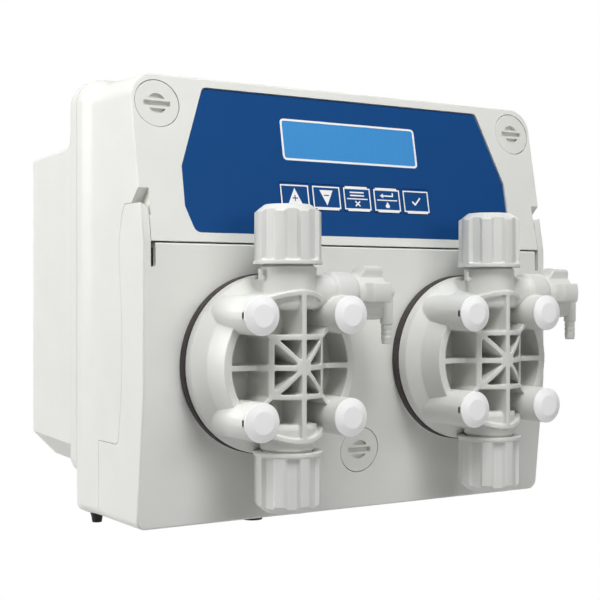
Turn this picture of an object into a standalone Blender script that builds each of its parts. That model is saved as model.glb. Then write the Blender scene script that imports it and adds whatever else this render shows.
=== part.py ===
"""Twin-head solenoid diaphragm dosing pump for a wall.

Metres, +Z up. The origin is the centre of the flat back that lies against the wall, +Y points into the wall
and the control face looks along -Y. Sizes below are in millimetres and are turned into metres by MM.
"Depth" is measured back from the seam line of the control face, and "rise" up from the pump head centres.
"""

import math

import bmesh
import bpy
from mathutils import Matrix, Vector

MM = 0.001

# Driving dimensions, in millimetres
TOTAL_DEPTH = 146.0  # seam line of the control face to the wall
HEAD_RISE = -26.5  # height of the pump head centres above the origin
HEAD_X = 63.0  # each pump head from the middle of the housing
GAP = 0.3  # clearance between touching pieces
WALL = 3.0  # wall of the moulded shells

# Housing, in depth and rise
TOP_TILT = math.radians(10.6)  # control face, leaning back
LOW_TILT = math.radians(6.5)  # lower cover, leaning back towards the bottom
SEAM_RISE = 59.6
TOP_RISE = 141.7
BOTTOM_RISE = -77.9
LOW_BEND_RISE = -14.0  # where the lower cover starts to lean back
CASE_HALF = 127.0
FLANGE_HALF = 129.5
FLANGE_TOP = 147.0
CASE_SPLIT = 76.0  # joint between the front and rear shells
RIM_BACK = 85.0
REAR_HALF = 126.5
REAR_TOP = 110.0
REAR_LOW = -57.0
REAR_CHAMFER = 14.0
SLOT_X = 122.5  # inner edge of the side tabs
TAB_RISE = 78.9
BULKHEAD = 25.2  # front of the wall that carries the solenoids
LOW_STEP_DEPTH = 52.0
LOW_STEP_RISE = -39.8

# Control face, measured up the slope from the seam
PANEL_TOP = 79.3
PANEL_LOW = 5.4
PANEL_HALF = 102.6
PANEL_SHOULDER = 38.6  # where the slanting sides begin
PANEL_TOP_HALF = 87.0
PANEL_SINK = 0.8
PANEL_THICK = 1.2
DISPLAY_CENTRE = 56.0
DISPLAY_SIZE = (86.0, 22.0)
KEY_CENTRE = 25.65
KEY_SIZE = (17.4, 11.8)
KEY_PITCH = 19.42
KEY_NAMES = ("key_up", "key_down", "key_menu", "key_enter", "key_set")
COVER_SCREW_X = 113.4
COVER_SCREW_UP = 69.2
COVER_SCREW_R = 11.8
LOW_SCREW_RISE = -47.7

# Pump head, about its own axis
BOSS = 24.6
BOSS_R = 9.2
BOSS_FRONT = -43.9
CAP_FRONT = -46.5
HEAD_BACK = -5.3
FLANGE_R = 44.3
WALL_FRONT = -30.0
WALL_OUT_R = 36.5
WALL_IN_R = 33.8
POCKET_FLOOR = -14.0
DOME_FRONT = -42.4
DOME_HALF = 19.0
RIB = 2.6
FRAME_HALF = 15.4
HUB_R = 4.2
NECK_DEPTH = -26.9
NECK_R = 13.3
NECK_IN = 27.7
BORE_R = 10.3
SPIGOT_R = 12.0
TOP_NUT = 48.8  # lower face of the discharge nut
LOW_NUT = -40.8  # upper face of the suction nut
NUT_LONG = 28.7
NUT_R = 16.7
NUT_HOLE_R = 6.0
BLEED_RISE = 35.3
COLLAR_END = 36.0
KNOB_FROM = 36.3
KNOB_FULL = 43.0  # where the knob's bell has opened out to its lobes
KNOB_TO = 52.5
KNOB_R = 13.5
OUTLET_X = 58.5
BARB_END = 9.3
GASKET_R = 44.8
SOLENOID_R = 27.0
SOLENOID_BACK = 96.0
SPIGOT_FRONT = -2.7

ROUND = 28  # facets of a large circle
MID_ROUND = 14  # facets of a boss or a cap
SMALL_ROUND = 12  # facets of a small circle

WHITE = (0.80, 0.80, 0.76)


def place(x, depth, rise):
    """A point in metres from a width, a depth behind the seam line and a rise above the head centres."""
    return Vector((x * MM, (depth - TOTAL_DEPTH) * MM, (rise + HEAD_RISE) * MM))


def material(name, colour, roughness, metallic=0.0):
    """A Principled material, made once for each name."""
    found = bpy.data.materials.get(name)
    if found:
        return found
    made = bpy.data.materials.new(name)
    made.use_nodes = True
    shader = made.node_tree.nodes["Principled BSDF"]
    shader.inputs["Base Color"].default_value = (*colour, 1.0)
    shader.inputs["Roughness"].default_value = roughness
    shader.inputs["Metallic"].default_value = metallic
    made.diffuse_color = (*colour, 1.0)
    return made


def new_object(name, bm, look=None):
    """An object in the scene from a bmesh, with its normals facing out."""
    bmesh.ops.recalc_face_normals(bm, faces=bm.faces)
    mesh = bpy.data.meshes.new(name)
    bm.to_mesh(mesh)
    bm.free()
    made = bpy.data.objects.new(name, mesh)
    bpy.context.scene.collection.objects.link(made)
    if look:
        mesh.materials.append(look)
    return made


def finish_piece(piece, look, smooth=True, parent=None):
    """Gives a finished piece its one material, its shading and its parent."""
    piece.data.materials.clear()
    piece.data.materials.append(look)
    if smooth:
        piece.data.shade_smooth()
        piece.data.set_sharp_from_angle(angle=math.radians(30))
    if parent:
        piece.parent = parent
    return piece


def combine(target, tool, operation):
    """Joins, cuts or intersects the target with the tool, and removes the tool."""
    modifier = target.modifiers.new(operation.title(), "BOOLEAN")
    modifier.operation = operation
    modifier.solver = "EXACT"
    modifier.object = tool
    bpy.context.view_layer.update()
    graph = bpy.context.evaluated_depsgraph_get()
    shape = bpy.data.meshes.new_from_object(target.evaluated_get(graph))
    target.modifiers.clear()
    old = target.data
    target.data = shape
    bpy.data.meshes.remove(old)
    bpy.data.objects.remove(tool)
    return target


def set_origin(piece, centre):
    """Moves a piece's origin to a point on the axis that it moves along or about."""
    spot = place(*centre)
    piece.data.transform(Matrix.Translation(-spot))
    piece.location = spot
    return piece


def cut(target, *tools):
    for tool in tools:
        combine(target, tool, "DIFFERENCE")
    return target


def join(target, *tools):
    for tool in tools:
        combine(target, tool, "UNION")
    return target


def loft(name, rings, look=None):
    """A closed solid through rings of equally many points, with a flat cap at each end."""
    bm = bmesh.new()
    layers = [[bm.verts.new(point) for point in ring] for ring in rings]
    for low, high in zip(layers, layers[1:]):
        count = len(low)
        for i in range(count):
            j = (i + 1) % count
            bm.faces.new((low[i], low[j], high[j], high[i]))
    bm.faces.new(layers[0])
    bm.faces.new(layers[-1])
    return new_object(name, bm, look)


def box(name, low, high):
    """A box between two corners, in width, depth and rise."""
    a, b = place(*low), place(*high)
    rings = [[Vector((x, y, z)) for x, y in ((a.x, a.y), (b.x, a.y), (b.x, b.y), (a.x, b.y))] for z in (a.z, b.z)]
    return loft(name, rings)


def side_prism(name, outline, x_from, x_to):
    """A prism along X whose outline is given in depth and rise."""
    return loft(name, [[place(x, depth, rise) for depth, rise in outline] for x in (x_from, x_to)])


def ring_points(radius, count, start=0.0):
    step = 2 * math.pi / count
    return [(radius * math.cos(start + i * step), radius * math.sin(start + i * step)) for i in range(count)]


def turned(name, profile, centre, axis, count=ROUND, closed=False):
    """A solid turned about an axis through centre; profile is (radius, distance along the axis).

    An open profile is capped flat at both ends. A closed one goes round a through hole.
    """
    turn = Vector((0, 0, 1)).rotation_difference(Vector(axis)).to_matrix()
    origin = place(*centre)
    bm = bmesh.new()
    layers = []
    for radius, along in profile:
        points = [Vector((x, y, along)) * MM for x, y in ring_points(radius, count)]
        layers.append([bm.verts.new(origin + turn @ point) for point in points])
    pairs = list(zip(layers, layers[1:]))
    if closed:
        pairs.append((layers[-1], layers[0]))
    else:
        bm.faces.new(layers[0])
        bm.faces.new(layers[-1])
    for low, high in pairs:
        for i in range(count):
            j = (i + 1) % count
            bm.faces.new((low[i], low[j], high[j], high[i]))
    return new_object(name, bm)


def rod(name, radius, centre, axis, length, count=ROUND):
    return turned(name, [(radius, 0.0), (radius, length)], centre, axis, count)


def corner(centre, radius, start, steps, chamfer):
    """Points round one corner of a section: a quarter circle, or the straight line across it."""
    points = []
    for i in range(steps + 1):
        angle = start + math.pi / 2 * i / steps
        points.append((centre[0] + radius * math.cos(angle), centre[1] + radius * math.sin(angle)))
    if not chamfer:
        return points
    first, last = points[0], points[-1]
    shares = [i / steps for i in range(steps + 1)]
    return [tuple(a + (b - a) * share for a, b in zip(first, last)) for share in shares]


def section(half, low, high, low_r, high_r, chamfer=False, steps=4):
    """A rounded rectangle in width and rise, with its own radius at the bottom and at the top."""
    return (
        corner((half - high_r, high - high_r), high_r, 0.0, steps, False)
        + corner((-half + high_r, high - high_r), high_r, math.pi / 2, steps, False)
        + corner((-half + low_r, low + low_r), low_r, math.pi, steps, chamfer)
        + corner((half - low_r, low + low_r), low_r, 1.5 * math.pi, steps, chamfer)
    )


def depth_loft(name, sections):
    """A loft along the depth through (depth, section) pairs."""
    return loft(name, [[place(x, depth, rise) for x, rise in outline] for depth, outline in sections])


def face_depth(rise, inset=0.0):
    """Depth of the front of the housing at a rise, moved back by inset."""
    if rise >= SEAM_RISE:
        return (rise - SEAM_RISE) * math.tan(TOP_TILT) + inset
    if rise <= LOW_BEND_RISE:
        return (LOW_BEND_RISE - rise) * math.tan(LOW_TILT) + inset
    return inset


def front_cutter(inset=0.0):
    """Everything in front of the housing's front face."""
    rises = (FLANGE_TOP + 20, SEAM_RISE, LOW_BEND_RISE, BOTTOM_RISE - 20)
    outline = [(face_depth(rise, inset), rise) for rise in rises]
    outline += [(-40.0, rises[-1]), (-40.0, rises[0])]
    return side_prism("front_cutter", outline, -160, 160)


def outer_shell(name):
    """The outside of the front of the housing, from the control face to the joint between the shells."""
    top_r, low_r = 12.0, 5.0
    made = depth_loft(
        name,
        [
            (-12.0, section(CASE_HALF - 0.4, BOTTOM_RISE, TOP_RISE - 0.4, low_r, top_r)),
            (15.4, section(CASE_HALF, BOTTOM_RISE, TOP_RISE, low_r, top_r)),
            (60.0, section(CASE_HALF + 0.6, BOTTOM_RISE, TOP_RISE + 1.6, low_r, top_r)),
            (71.0, section(FLANGE_HALF, BOTTOM_RISE, FLANGE_TOP, low_r, top_r + 1)),
            (CASE_SPLIT, section(FLANGE_HALF, BOTTOM_RISE, FLANGE_TOP, low_r, top_r + 1)),
        ],
    )
    return cut(made, front_cutter())


def parting_outline(gap):
    """Side outline of the space that the lower cover fills, widened by gap."""
    line = (
        (20.4, TAB_RISE),
        (24.4, 70.0),
        (26.6, SEAM_RISE + 0.2),
        (26.8, 58.0),
        (26.0, 44.0),
        (23.8, 24.0),
        (23.6, 8.0),
        (24.6, -12.0),
        (26.6, -30.0),
        (28.4, -37.6),
        (31.4, LOW_STEP_RISE),
        (LOW_STEP_DEPTH, LOW_STEP_RISE),
        (LOW_STEP_DEPTH, BOTTOM_RISE - 20),
    )
    outline = [(depth + gap, rise + gap) for depth, rise in line]
    return outline + [(-40.0, BOTTOM_RISE - 20), (-40.0, TAB_RISE + gap)]


def slope_frame():
    """An empty at the seam line, turned so that its Z runs up the control face and its -Y points out of it."""
    frame = bpy.data.objects.new("control_face_frame", None)
    bpy.context.scene.collection.objects.link(frame)
    frame.location = place(0, 0, SEAM_RISE)
    frame.rotation_euler = (-TOP_TILT, 0, 0)
    bpy.context.view_layer.update()
    return frame


def slope_matrix():
    return Matrix.Translation(place(0, 0, SEAM_RISE)) @ Matrix.Rotation(-TOP_TILT, 4, "X")


def low_matrix():
    """Where the lower cover screw sits: its face point, with -Y out of the leaning cover."""
    spot = place(0, face_depth(LOW_SCREW_RISE), LOW_SCREW_RISE)
    return Matrix.Translation(spot) @ Matrix.Rotation(LOW_TILT, 4, "X")


def plate(name, outline, front, back):
    """A plate in a face's own frame: outline in (across, up), front and back as depths behind the face."""
    return loft(name, [[Vector((x, depth, z)) * MM for x, z in outline] for depth in (front, back)])


def rectangle(centre, size):
    half_x, half_z = size[0] / 2, size[1] / 2
    x, z = centre
    return [(x - half_x, z - half_z), (x + half_x, z - half_z), (x + half_x, z + half_z), (x - half_x, z + half_z)]


def disc(centre, radius, count=ROUND):
    return [(centre[0] + x, centre[1] + z) for x, z in ring_points(radius, count)]


def in_world(tool, matrix):
    """Moves a tool made in a face's own frame to its place in the world."""
    tool.data.transform(matrix)
    return tool


def panel_outline(margin=0.0):
    """The blue panel's outline: straight top and bottom, and sides that slant in beside the cover screws."""
    half = [
        (PANEL_TOP_HALF - 1.0, PANEL_TOP + margin),
        (PANEL_TOP_HALF + 1.3 + margin, PANEL_TOP - 2.5),
        (PANEL_HALF + margin, PANEL_SHOULDER),
        (PANEL_HALF + margin, 18.4),
        (PANEL_HALF - 4.0 + margin, PANEL_LOW + 2.2),
        (PANEL_HALF - 6.6, PANEL_LOW - margin),
    ]
    return half + [(-x, z) for x, z in reversed(half)]


def key_centre(index):
    return ((index - 2) * KEY_PITCH - 0.75, KEY_CENTRE)


def housing_looks():
    return {
        "shell": material("shell_plastic", WHITE, 0.42),
        "seal": material("seal_rubber", (0.03, 0.03, 0.03), 0.8),
        "panel": material("panel_blue", (0.015, 0.07, 0.21), 0.35),
        "display": material("display_blue", (0.07, 0.27, 0.62), 0.15),
        "key": material("key_film", (0.02, 0.09, 0.26), 0.4),
        "board": material("board_green", (0.02, 0.14, 0.06), 0.5),
        "screw": material("cover_screw_plastic", (0.72, 0.72, 0.69), 0.4),
        "rubber": material("black_rubber", (0.012, 0.012, 0.013), 0.6),
    }


def make_front_case(looks):
    case = outer_shell("front_case")
    # the space that the lower cover fills, then the strip between its tabs
    low_space = [(depth, min(rise, SEAM_RISE + 0.2)) for depth, rise in parting_outline(GAP)]
    cut(case, side_prism("cover_space", low_space, -160, 160))
    for side in (-1, 1):
        inner, outer = sorted((side * (SLOT_X - 0.3), side * 160))
        cut(case, side_prism("tab_space", parting_outline(GAP), inner, outer))
        notch = [(0.0, TAB_RISE - 2), (12.0, TAB_RISE - 2), (12.0, TAB_RISE), (6.0, 86.5), (0.0, 86.5)]
        cut(case, side_prism("finger_notch", notch, *sorted((side * (SLOT_X - 0.5), side * 160))))
    inside = CASE_HALF - WALL - 0.2
    rear_room = depth_loft(
        "rear_room",
        [
            (BULKHEAD + WALL, section(inside, LOW_STEP_RISE + WALL, TOP_RISE - WALL, 2, 9)),
            (CASE_SPLIT + 5, section(inside, LOW_STEP_RISE + WALL, TOP_RISE - WALL, 2, 9)),
        ],
    )
    low_front = LOW_STEP_DEPTH + WALL
    low_room = box("low_room", (-inside, low_front, BOTTOM_RISE + WALL), (inside, CASE_SPLIT - WALL, -30))
    low_way = box("low_way", (-inside, low_front, REAR_LOW + 5), (inside, CASE_SPLIT + 5, -30))
    upper_rises = (SEAM_RISE + WALL, TOP_RISE - WALL)
    upper_outline = [(face_depth(rise, 4.5), rise) for rise in upper_rises]
    upper_outline += [(40.0, upper_rises[1]), (40.0, upper_rises[0])]
    upper_room = side_prism("upper_room", upper_outline, -inside + 2, inside - 2)
    cut(case, rear_room, low_room, low_way, upper_room)
    # seat of the panel, the opening behind the display and keys, and the cover screw seats
    slope = slope_matrix()
    recess = plate("panel_recess", panel_outline(GAP), -5, PANEL_SINK + PANEL_THICK + GAP)
    opening = plate("panel_opening", rectangle((0, 43.5), (104, 54)), -5, 20)
    cut(case, in_world(recess, slope), in_world(opening, slope))
    for side in (-1, 1):
        centre = (side * COVER_SCREW_X, COVER_SCREW_UP)
        seat = plate("screw_seat", disc(centre, COVER_SCREW_R + GAP, 24), -5, 3.2)
        hole = plate("screw_hole", disc(centre, 3.4, SMALL_ROUND), -5, 20)
        cut(case, in_world(seat, slope), in_world(hole, slope))
    for side in (-1, 1):
        cut(case, rod("solenoid_hole", SOLENOID_R + 0.6, (side * HEAD_X, 10, 0), (0, 1, 0), 30))
        cut(case, rod("flange_seat", 39.2, (side * HEAD_X, 10, 0), (0, 1, 0), BULKHEAD - 9.8))
    cut(case, rod("gland_hole", 5.0, (GLAND[0], GLAND[1], BOTTOM_RISE + 6), (0, 0, -1), 12, SMALL_ROUND))
    return finish_piece(case, looks["shell"])


GLAND = (-31.0, 64.0)  # width and depth of the cable gland under the housing
FOOT = (121.0, 69.5)


def make_lower_cover(looks):
    cover = outer_shell("lower_cover")
    combine(cover, side_prism("cover_limits", parting_outline(0), -160, 160), "INTERSECT")
    cut(cover, box("between_tabs", (-SLOT_X, -30, SEAM_RISE - 0.1), (SLOT_X, 60, 120)))
    inside = CASE_HALF - WALL - 0.4
    room = [(face_depth(rise, WALL), rise) for rise in (SEAM_RISE - WALL, LOW_BEND_RISE, BOTTOM_RISE + WALL)]
    room += [(90.0, BOTTOM_RISE + WALL), (90.0, SEAM_RISE - WALL)]
    cut(cover, side_prism("cover_room", room, -inside, inside))
    for side in (-1, 1):
        slot = box("end_slot", (side * 121.4 - 1.1, -5, 47.4), (side * 121.4 + 1.1, 12, SEAM_RISE + 1))
        pad = rod("head_pad", GASKET_R + 0.3, (side * HEAD_X, 0.0, 0), (0, 1, 0), 8.5)
        hole = rod("head_hole", 40.0, (side * HEAD_X, -10, 0), (0, 1, 0), 40)
        cut(cover, slot)
        cut(join(cover, pad), hole)
    low = low_matrix()
    boss = plate("screw_boss", disc((0, 0), COVER_SCREW_R + 2.2, 24), 1.0, 6.5)
    seat = plate("screw_seat", disc((0, 0), COVER_SCREW_R + GAP, 24), -5, 3.2)
    hole = plate("screw_hole", disc((0, 0), 3.4, SMALL_ROUND), -5, 20)
    join(cover, in_world(boss, low))
    cut(cover, in_world(seat, low), in_world(hole, low))
    return finish_piece(cover, looks["shell"])


def make_rear_case(looks):
    front = CASE_SPLIT + GAP
    rim = section(FLANGE_HALF, REAR_LOW, FLANGE_TOP, 5, 13)
    step = section(FLANGE_HALF - 0.8, REAR_LOW + 1, 122.0, 9, 6, chamfer=True)
    case = depth_loft("rear_case", [(front, rim), (RIM_BACK - 2, rim), (RIM_BACK, section(128.7, REAR_LOW, 144, 6, 11))])
    tail = depth_loft(
        "tail",
        [
            (RIM_BACK - 4, step),
            (RIM_BACK, step),
            (RIM_BACK + 3.5, section(128.4, REAR_LOW - 1, 117.0, 12, 4, chamfer=True)),
            (RIM_BACK + 10, section(128.2, REAR_LOW - 1.5, 113.6, REAR_CHAMFER, 3, chamfer=True)),
            (TOTAL_DEPTH, section(REAR_HALF, REAR_LOW, REAR_TOP, REAR_CHAMFER, 3, chamfer=True)),
        ],
    )
    join(case, tail)
    room = depth_loft(
        "room",
        [
            (front - 5, section(124.5, REAR_LOW + 3.5, 109.5, 12, 3, chamfer=True)),
            (TOTAL_DEPTH - WALL, section(123.0, REAR_LOW + 3.5, 106.5, 12.5, 3, chamfer=True)),
        ],
    )
    cut(case, room)
    # groove for the seal round the mouth
    return finish_piece(case, looks["shell"])


def make_case_seal(looks):
    """A rubber cord frame between the shells, just inside their joint."""
    depths = (CASE_SPLIT - 2.0, CASE_SPLIT + 2.0)
    seal = depth_loft("case_seal", [(d, section(123.2, -30.0, 108.0, 4, 6)) for d in depths])
    hole = depth_loft("hole", [(d, section(120.6, -27.4, 105.4, 3, 5)) for d in (depths[0] - 3, depths[1] + 3)])
    return finish_piece(cut(seal, hole), looks["seal"])


def make_control_face(looks, frame):
    """The panel, display, keys, board and upper cover screws, each in the control face's own frame."""
    front, back = PANEL_SINK, PANEL_SINK + PANEL_THICK
    panel = plate("keypad_panel", panel_outline(), front, back)
    cut(panel, plate("window", rectangle((-0.75, DISPLAY_CENTRE), DISPLAY_SIZE), -5, 10))
    key_hole = (KEY_SIZE[0] + 0.3, KEY_SIZE[1] + 0.3)
    for index in range(len(KEY_NAMES)):
        cut(panel, plate("key_hole", rectangle(key_centre(index), key_hole), -5, 10))
    finish_piece(panel, looks["panel"], parent=frame)
    display_size = (DISPLAY_SIZE[0] - 2 * GAP, DISPLAY_SIZE[1] - 2 * GAP)
    display = plate("display_window", rectangle((-0.75, DISPLAY_CENTRE), display_size), front + 0.1, back + 0.5)
    finish_piece(display, looks["display"], parent=frame)
    for index, name in enumerate(KEY_NAMES):
        size = (KEY_SIZE[0] - 0.3, KEY_SIZE[1] - 0.3)
        key = plate(name, rectangle((0, 0), size), -0.15, 1.3)
        finish_piece(key, looks["key"], parent=frame)
        across, up = key_centre(index)
        key.location = Vector((across, front, up)) * MM
    board = plate("control_board", rectangle((0, 42.0), (112, 56)), 9.0, 10.6)
    finish_piece(board, looks["board"], parent=frame)
    for side, name in ((-1, "cover_screw_left"), (1, "cover_screw_right")):
        screw = make_cover_screw(name, looks)
        screw.parent = frame
        screw.location = Vector((side * COVER_SCREW_X, 0, COVER_SCREW_UP)) * MM


def make_cover_screw(name, looks):
    """A large flush screw with a slot between two recessed segments; its head faces local -Y."""
    screw = plate(name, disc((0, 0), COVER_SCREW_R, 24), 0.1, 2.9)
    join(screw, plate("shank", disc((0, 0), 3.0, SMALL_ROUND), 2.0, 13.0))
    cut(screw, plate("slot", rectangle((0, 0), (15.5, 2.6)), -5, 1.7))
    for side in (-1, 1):
        cap = plate("segment", disc((0, 0), 6.6, 12), -5, 1.5)
        low, high = sorted((side * 3.0, side * 12.0))
        keep = plate("keep", rectangle((0, (low + high) / 2), (30, high - low)), -6, 3)
        cut(screw, combine(cap, keep, "INTERSECT"))
    return finish_piece(screw, looks["screw"])


def make_low_screw(looks):
    screw = make_cover_screw("cover_screw_lower", looks)
    screw.matrix_world = low_matrix()


def make_underside(looks):
    """Two rubber feet under the rear corners, and the gland where the supply cord would enter."""
    for side, name in ((-1, "foot_left"), (1, "foot_right")):
        profile = [(3.5, 0.0), (3.5, 1.5), (2.5, 6.2)]
        foot = turned(name, profile, (side * FOOT[0], FOOT[1], BOTTOM_RISE - GAP), (0, 0, -1), SMALL_ROUND)
        finish_piece(foot, looks["rubber"])
    profile = [(2.6, -4.0), (4.6, -4.0), (4.6, GAP), (7.6, GAP), (7.6, 5.0), (6.4, 6.0), (6.0, 12.1), (2.6, 12.1)]
    gland = turned("cable_gland", profile, (*GLAND, BOTTOM_RISE), (0, 0, -1), 14, closed=True)
    finish_piece(gland, looks["rubber"])


def dome_outline():
    """Front of the head's ribs seen from above: flat at the sides and arched in the middle."""
    steps = 8
    points = []
    for i in range(steps + 1):
        across = -DOME_HALF + 2 * DOME_HALF * i / steps
        rise = 1 - (across / DOME_HALF) ** 2
        points.append((across, WALL_FRONT + (DOME_FRONT - WALL_FRONT) * rise))
    return points


def plan_prism(name, x, outline, low, high):
    """A prism along Z whose outline is given in width from x and depth."""
    return loft(name, [[place(x + across, depth, rise) for across, depth in outline] for rise in (low, high)])


def flat_bar(name, x, start, end, width, depth_from, depth_to):
    """A bar in the plane of the head, from start to end as (across, up), and deep as given."""
    direction = Vector((end[0] - start[0], end[1] - start[1])).normalized()
    side = Vector((-direction.y, direction.x)) * width / 2
    outline = [Vector(start) + side, Vector(start) - side, Vector(end) - side, Vector(end) + side]
    return loft(name, [[place(x + p.x, depth, p.y) for p in outline] for depth in (depth_from, depth_to)])


def head_ribs(x):
    """The bars, hub, bosses and necks that stay standing inside the head."""
    front, back = DOME_FRONT - 8, POCKET_FLOOR + 5
    mid = FRAME_HALF - RIB / 2
    reach = WALL_OUT_R
    bars = [((0, -reach), (0, reach)), ((-reach, 0), (reach, 0))]
    for sign in (-1, 1):
        bars.append(((sign * mid, -mid), (sign * mid, mid)))
        bars.append(((-mid, sign * mid), (mid, sign * mid)))
        bars.append(((-BOSS, -sign * BOSS), (BOSS, sign * BOSS)))
    pieces = [flat_bar("rib", x, start, end, RIB, front, back) for start, end in bars]
    pieces.append(rod("hub", HUB_R, (x, back, 0), (0, -1, 0), back - front, SMALL_ROUND))
    for across, up in boss_places():
        pieces.append(rod("boss_core", BOSS_R - 0.2, (x + across, back, up), (0, -1, 0), back - front, MID_ROUND))
    for sign in (-1, 1):
        core = (x, NECK_DEPTH, sign * (NECK_IN + 0.2))
        pieces.append(rod("neck_core", NECK_R - 0.3, core, (0, 0, sign), 20, ROUND))
    return pieces


def boss_places():
    return [(sx * BOSS, sz * BOSS) for sz in (1, -1) for sx in (-1, 1)]


def make_pump_head(side, x, look):
    """The moulded head: flange, walled pockets with ribs, four bosses, two necks and the bleed collar.

    It is shaped on the middle line and then moved out to x, so that both heads are the same shape.
    """
    profile = [(FLANGE_R, 0.0), (FLANGE_R, 6.2), (38.8, 12.6), (WALL_OUT_R, -WALL_FRONT + HEAD_BACK)]
    head = turned(side + "_pump_head", profile, (0, HEAD_BACK, 0), (0, -1, 0), 32)
    arch = [(-DOME_HALF, WALL_FRONT + 2)] + dome_outline() + [(DOME_HALF, WALL_FRONT + 2)]
    dome = plan_prism("dome", 0, arch, -WALL_OUT_R - 2, WALL_OUT_R + 2)
    round_limit = rod("round_limit", WALL_OUT_R - 0.15, (0, WALL_FRONT + 6, 0), (0, -1, 0), 30, 32)
    join(head, combine(dome, round_limit, "INTERSECT"))
    pockets = rod("pockets", WALL_IN_R, (0, POCKET_FLOOR, 0), (0, -1, 0), 40, 32)
    cut(pockets, *head_ribs(0))
    cut(head, pockets)
    for across, up in boss_places():
        join(head, rod("boss", BOSS_R, (across, HEAD_BACK - 5, up), (0, -1, 0), HEAD_BACK - 5 - BOSS_FRONT, MID_ROUND))
    for sign, nut_face in ((1, TOP_NUT), (-1, LOW_NUT)):
        shoulder = abs(nut_face) - NECK_IN - 0.6
        neck = [(NECK_R, 0.0), (NECK_R, shoulder), (SPIGOT_R, shoulder), (SPIGOT_R, shoulder + 10)]
        join(head, turned("neck", neck, (0, NECK_DEPTH, sign * NECK_IN), (0, 0, sign)))
        low, high = sorted((sign * (NECK_IN + 0.4), sign * (NECK_IN + shoulder - 2)))
        join(head, box("neck_web", (-12.9, NECK_DEPTH, low), (12.9, -10, min(high, 43.5))))
    start = 10.0
    collar = [(8.4, 0.0), (8.4, 11.3), (10.3, 13.5), (10.3, 24.0), (8.8, COLLAR_END - start)]
    join(head, turned("collar", collar, (start, NECK_DEPTH, BLEED_RISE), (1, 0, 0), MID_ROUND))
    cut(head, rod("spindle_bore", 5.4, (30, NECK_DEPTH, BLEED_RISE), (1, 0, 0), 20, SMALL_ROUND))
    cut(head, rod("chamber", 31.0, (0, 0, 0), (0, -1, 0), 8.0))
    for sign in (-1, 1):
        cut(head, rod("valve_bore", BORE_R, (0, NECK_DEPTH, sign * 31), (0, 0, sign), 40, MID_ROUND))
        cut(head, rod("passage", 1.6, (0, -6, sign * 29.6), (0, -1, 0), 21, 8))
    cut(head, rod("nut_clearance", NUT_R + 1.0, (0, NECK_DEPTH, LOW_NUT + GAP), (0, 0, -1), 10))
    for across, up in boss_places():
        cut(head, rod("screw_bore", 2.7, (across, 0, up), (0, -1, 0), 20, 8))
        cut(head, rod("cap_bore", 5.6, (across, -17, up), (0, -1, 0), 40, SMALL_ROUND))
    head.data.transform(Matrix.Translation((x * MM, 0, 0)))
    return finish_piece(head, look)


def lobed_ring(radius, depth, lobes, width_share):
    """Outline of a grip with flat-bottomed flutes: each lobe is a stretch at full radius."""
    points = []
    pitch = 2 * math.pi / lobes
    for lobe in range(lobes):
        middle = lobe * pitch
        crest = pitch * width_share / 2
        flute = pitch / 2 - crest
        for share in (-1, 1):
            points.append((middle + share * crest, radius))
        for share in (0.25, 0.75):
            points.append((middle + crest + share * 2 * flute, radius - depth))
    return [(r * math.cos(a), r * math.sin(a)) for a, r in points]


def make_nut(name, x, face_rise, sign, look):
    """A fluted union nut: a flange at its open end, flutes, a chamfered nose and a hole for the hose."""
    layers = []
    for along, radius, depth in (
        (0.0, NUT_R + 0.5, 0.0),
        (2.2, NUT_R + 0.5, 0.0),
        (2.6, NUT_R, 1.6),
        (NUT_LONG - 3.4, NUT_R - 0.2, 1.6),
        (NUT_LONG, NUT_R - 3.4, 0.4),
    ):
        outline = lobed_ring(radius, depth, 8, 0.45)
        layers.append([place(x + px, NECK_DEPTH + py, face_rise + sign * along) for px, py in outline])
    nut = loft(name, layers)
    cut(nut, rod("socket", SPIGOT_R + GAP, (x, NECK_DEPTH, face_rise - sign * 5), (0, 0, sign), 20))
    cut(nut, rod("mouth", NUT_HOLE_R, (x, NECK_DEPTH, face_rise), (0, 0, sign), 40, MID_ROUND))
    return set_origin(finish_piece(nut, look), (x, NECK_DEPTH, face_rise))


def make_valve(name, x, sign, look):
    """A valve cartridge: a seat below, a ball room, and a hose nipple that points out of the nut."""
    nut_face = TOP_NUT if sign > 0 else -LOW_NUT
    collar = nut_face - 0.6 + 10 + GAP
    tip = nut_face + NUT_LONG - 1.0
    profile = [
        (9.9, 31.4),
        (9.9, collar),
        (11.6, collar),
        (11.6, nut_face + 14.6),
        (4.6, nut_face + 14.6),
        (3.4, tip),
        (2.0, tip),
        (2.0, 49.0),
        (4.5, 49.0),
        (4.5, 37.0),
        (2.0, 37.0),
        (2.0, 31.4),
    ]
    valve = turned(name, profile, (x, NECK_DEPTH, 0), (0, 0, sign), 14, closed=True)
    return finish_piece(valve, look)


def make_ball(name, x, centre_rise, look):
    bm = bmesh.new()
    bmesh.ops.create_uvsphere(bm, u_segments=10, v_segments=6, radius=3.6 * MM)
    ball = new_object(name, bm)
    ball.location = place(x, NECK_DEPTH, centre_rise)
    return finish_piece(ball, look)


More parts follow.
